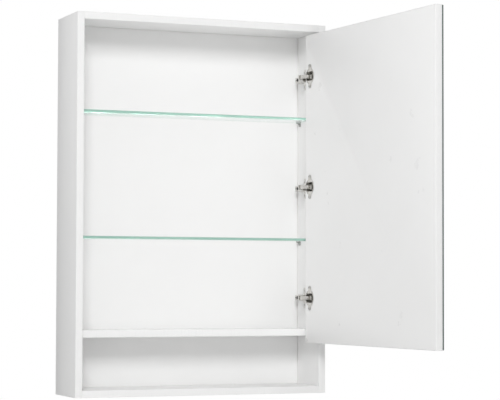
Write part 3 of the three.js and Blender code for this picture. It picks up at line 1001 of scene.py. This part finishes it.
# CAD nodes that stay: better materials, and softened edges where their shape allows it.
KEPT = {
    "back_panel": ("back", 0.0),
    "hanging_rail": ("rail", 0.0),
    "hanger_left": ("zinc", 0.0),
    "hanger_right": ("zinc", 0.0),
}
for hinge in HINGES:
    KEPT[f"{hinge}_link"] = ("nickel", 0.3 * MM)
    KEPT[f"{hinge}_arm_pin"] = ("zinc", 0.0)
    KEPT[f"{hinge}_cup_pin"] = ("zinc", 0.0)
for node, (look, width) in KEPT.items():
    obj = NODES[node]
    for item in obj.material_slots:
        item.material = MAT[look]
    if width:
        weld = obj.modifiers.new("weld", "WELD")
        weld.merge_threshold = 0.01 * MM
        bevel = obj.modifiers.new("bevel", "BEVEL")
        bevel.width = width
        bevel.segments = 2
        bevel.limit_method = "ANGLE"
        bevel.angle_limit = math.radians(40)

# ------------------------------------------------------------------ studio
FLOOR_DROP = 0.42  # below the cabinet's underside
FLOOR_RADIUS = 3.1
cad_low, cad_high = (Vector(c) for c in CAD_BOX)
TARGET = (cad_low + cad_high) / 2
floor_top = cad_low.z - FLOOR_DROP
floor_mesh = to_mesh(lathe_bm(
    [(0, -0.02), (FLOOR_RADIUS, -0.02), (FLOOR_RADIUS, 0), (0, 0)], 96, 2,
))
floor_mesh.materials.append(studio_floor("studio_floor", FLOOR_RADIUS))
floor = bpy.data.objects.new("studio_floor", floor_mesh)
floor.location = (TARGET.x, TARGET.y, floor_top)
bpy.context.scene.collection.objects.link(floor)

SHOWN_WHITE = 1.0  # the backdrop as the camera sees it
AMBIENT = (0.66, 0.50)  # light from below and from above
ACROSS = (1.0, 0.30)  # shares of that light from the left and from the right
REFLECTED = (0.55, 1.0)  # what polished surfaces mirror, below and above
HORIZON = {"start": -0.32, "end": 0.4}  # where that changes, as the direction's height
world = bpy.data.worlds.new("studio")
bpy.context.scene.world = world
world.use_nodes = True
tree = world.node_tree
tree.nodes.clear()
out = tree.nodes.new("ShaderNodeOutputWorld")
direction = tree.nodes.new("ShaderNodeTexCoord")
split = tree.nodes.new("ShaderNodeSeparateXYZ")
tree.links.new(direction.outputs["Generated"], split.inputs[0])


def graded(source, low, high, start, end):
    grade = tree.nodes.new("ShaderNodeMapRange")
    grade.interpolation_type = "SMOOTHSTEP"
    for key, value in (("From Min", start), ("From Max", end), ("To Min", low), ("To Max", high)):
        grade.inputs[key].default_value = value
    tree.links.new(source, grade.inputs["Value"])
    return grade.outputs[0]


def backdrop(low, high, left=1.0, right=1.0, start=-0.5, end=0.7):
    """A background whose strength changes smoothly from below to above and from left to right."""
    product = tree.nodes.new("ShaderNodeMath")
    product.operation = "MULTIPLY"
    tree.links.new(graded(split.outputs["Z"], low, high, start, end), product.inputs[0])
    tree.links.new(graded(split.outputs["X"], left, right, -0.8, 0.8), product.inputs[1])
    made = tree.nodes.new("ShaderNodeBackground")
    made.inputs["Color"].default_value = (1.0, 1.0, 1.0, 1.0)
    tree.links.new(product.outputs[0], made.inputs["Strength"])
    return made


def chosen(by, otherwise, when):
    """The background `when` for the rays that `by` names, and `otherwise` for the rest."""
    made = tree.nodes.new("ShaderNodeMixShader")
    tree.links.new(by, made.inputs[0])
    tree.links.new(otherwise.outputs[0], made.inputs[1])
    tree.links.new(when.outputs[0], made.inputs[2])
    return made


rays = tree.nodes.new("ShaderNodeLightPath")
diffused = backdrop(*AMBIENT, *ACROSS)
mirrored = backdrop(*REFLECTED, **HORIZON)
lit = chosen(rays.outputs["Is Glossy Ray"], diffused, mirrored)
seen = chosen(rays.outputs["Is Camera Ray"], lit, backdrop(SHOWN_WHITE, SHOWN_WHITE))
tree.links.new(seen.outputs[0], out.inputs["Surface"])


def area_light(name, at, size, power):
    data = bpy.data.lights.new(name, "AREA")
    data.shape = "RECTANGLE"
    data.size, data.size_y = size
    data.energy = power
    obj = bpy.data.objects.new(name, data)
    bpy.context.scene.collection.objects.link(obj)
    obj.location = at
    obj.rotation_mode = "QUATERNION"
    obj.rotation_quaternion = (TARGET - Vector(at)).to_track_quat("-Z", "Y")
    obj.visible_glossy = False  # a polished face shows the backdrop and no lamp


area_light("key", TARGET + Vector((-1.55, -3.7, 2.05)), (1.3, 1.3), 99.0)
area_light("fill_low", TARGET + Vector((-0.5, -3.9, -0.75)), (1.8, 1.2), 12.0)
area_light("fill_rear", TARGET + Vector((1.9, 3.4, 1.6)), (2.4, 2.0), 55.0)

# ------------------------------------------------------------------ camera
YAW = math.radians(22.48)  # turned to the right of straight at the wall
PITCH = math.radians(2.52)
ROLL = math.radians(0.16)
FOCAL_WIDTHS = 3.7128  # focal length over the picture's width
CAMERA_AT = Vector((-1.5028, -4.0509, -0.5388))
camera_data = bpy.data.cameras.new("camera")
camera_data.sensor_width = 36.0
camera_data.lens = camera_data.sensor_width * FOCAL_WIDTHS
camera_data.clip_end = 100.0
camera = bpy.data.objects.new("camera", camera_data)
bpy.context.scene.collection.objects.link(camera)
ahead = Vector((
    math.sin(YAW) * math.cos(PITCH), math.cos(YAW) * math.cos(PITCH), math.sin(PITCH),
))
right = Vector((math.cos(YAW), -math.sin(YAW), 0.0))
up = right.cross(ahead)
right_r = right * math.cos(ROLL) + up * math.sin(ROLL)
up_r = up * math.cos(ROLL) - right * math.sin(ROLL)
basis = Matrix((right_r, up_r, -ahead)).transposed()
camera.matrix_world = Matrix.Translation(CAMERA_AT) @ basis.to_4x4()
bpy.context.scene.camera = camera
bpy.context.scene.view_settings.view_transform = "Standard"
